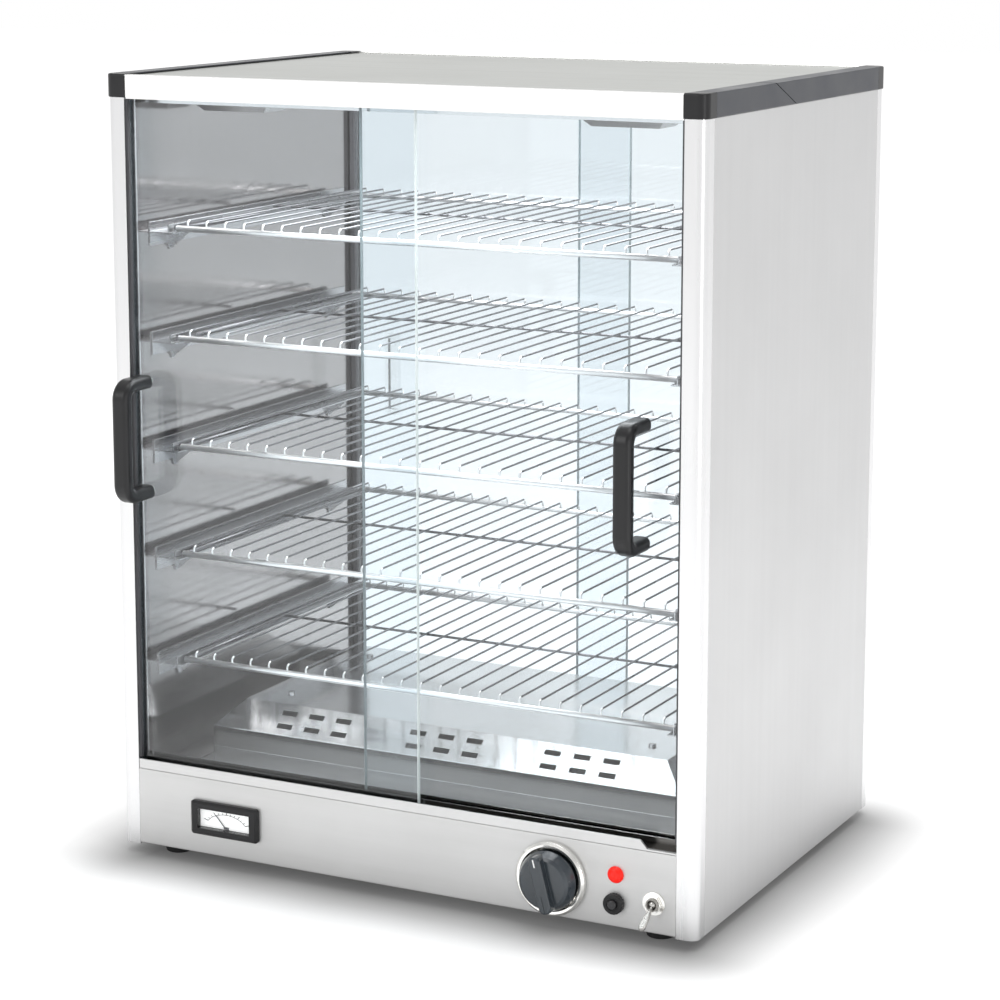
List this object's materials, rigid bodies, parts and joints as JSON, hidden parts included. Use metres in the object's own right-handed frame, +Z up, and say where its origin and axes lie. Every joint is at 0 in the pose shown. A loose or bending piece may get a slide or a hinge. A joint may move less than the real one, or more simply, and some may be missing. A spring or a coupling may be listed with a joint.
{
  "type": "heated display case",
  "caption": "Free-standing heated food display case with sliding glass doors front and rear, wire shelves, covered heater and a control panel.",
  "frame": {"origin": "bottom centre of the whole object, handles and gland included, at the level of the feet", "axes": "+Z up, the control panel and the front doors face -Y, +X is the right side seen from the front"},
  "size_m": [0.62, 0.4946, 0.77],
  "materials": {
    "satin_steel": "satin",
    "mirror_steel": "polished",
    "roof_steel": "fine satin",
    "post_aluminium": "satin",
    "rail_steel": "satin",
    "dark_trim": "satin",
    "black_plastic": "satin",
    "black_rubber": "matte",
    "pane_glass": "clear",
    "clear_cover": "clear",
    "shelf_chrome": "bright",
    "polished_chrome": "polished",
    "element_sheath": "heat darkened",
    "control_grey": "gloss",
    "red_lens": "gloss",
    "button_black": "gloss",
    "dial_white": "matte",
    "tube_glass": "frosted"
  },
  "bodies": {
    "cabinet": {"base_pan": "satin_steel", "bottom_tracks": "mirror_steel", "cable_gland": "black_plastic", "cavity_floor": "satin_steel", "ceiling_liner": "mirror_steel", "corner_caps": "black_plastic", "corner_posts": "post_aluminium", "cover_screws": "rail_steel", "element_brackets": "rail_steel", "feet": "black_rubber", "foot_screws": "polished_chrome", "front_base_panel": "satin_steel", "heater_cover": "mirror_steel", "heater_skirt": "mirror_steel", "heating_element": "element_sheath", "inner_sides": "mirror_steel", "knob_bezel": "polished_chrome", "lamp_diffusers": "clear_cover", "lamp_housings": "mirror_steel", "lamp_tubes": "tube_glass", "lintels": "mirror_steel", "pilot_body": "black_plastic", "pilot_lens": "red_lens", "post_seals": "black_rubber", "rear_base_panel": "satin_steel", "reset_body": "black_plastic", "reset_nut": "black_plastic", "roof_panel": "roof_steel", "shelf_rails": "rail_steel", "side_panel_left": "satin_steel", "side_panel_right": "satin_steel", "side_trims": "dark_trim", "terminal_block": "black_plastic", "thermometer_case": "black_plastic", "thermometer_face": "dial_white", "thermometer_window": "clear_cover", "thermostat_body": "control_grey", "thermostat_bulb": "element_sheath", "toggle_body": "black_plastic", "toggle_plate": "polished_chrome", "top_tracks": "mirror_steel", "wire_shelf_1": "shelf_chrome", "wire_shelf_2": "shelf_chrome", "wire_shelf_3": "shelf_chrome", "wire_shelf_4": "shelf_chrome", "wire_shelf_5": "shelf_chrome"},
    "front_left_door": {"pane_front_left": "pane_glass", "handle_front_left": "black_plastic", "handle_screws_left": "polished_chrome"},
    "front_right_door": {"pane_front_right": "pane_glass", "handle_front_right": "black_plastic", "handle_screws_right": "polished_chrome"},
    "rear_left_door": {"pane_rear_left": "pane_glass", "finger_pull_rear_left": "clear_cover"},
    "rear_right_door": {"pane_rear_right": "pane_glass", "finger_pull_rear_right": "clear_cover"},
    "knob": {"control_knob": "control_grey", "thermostat_shaft": "element_sheath"},
    "reset_push": {"reset_button": "button_black"},
    "toggle": {"toggle_lever": "polished_chrome"}
  },
  "joints": [
    {"name": "front_left_slide", "type": "slide", "parent": "cabinet", "child": "front_left_door", "axis": [1, 0, 0], "range_m": [0, 0.205]},
    {"name": "front_right_slide", "type": "slide", "parent": "cabinet", "child": "front_right_door", "axis": [1, 0, 0], "range_m": [-0.205, 0]},
    {"name": "rear_left_slide", "type": "slide", "parent": "cabinet", "child": "rear_left_door", "axis": [1, 0, 0], "range_m": [0, 0.205]},
    {"name": "rear_right_slide", "type": "slide", "parent": "cabinet", "child": "rear_right_door", "axis": [1, 0, 0], "range_m": [-0.205, 0]},
    {"name": "knob_turn", "type": "hinge", "parent": "cabinet", "child": "knob", "pos_m": [0.165, -0.20875, 0.048], "axis": [0, 1, 0], "range_deg": [0, 270]},
    {"name": "reset_press", "type": "slide", "parent": "cabinet", "child": "reset_push", "axis": [0, 1, 0], "range_m": [0, 0.003], "stiffness_N_per_m": 400, "springref_m": -0.001},
    {"name": "toggle_flip", "type": "hinge", "parent": "cabinet", "child": "toggle", "pos_m": [0.2675, -0.21025, 0.04], "axis": [-1, 0, 0], "range_deg": [0, 60]}
  ]
}
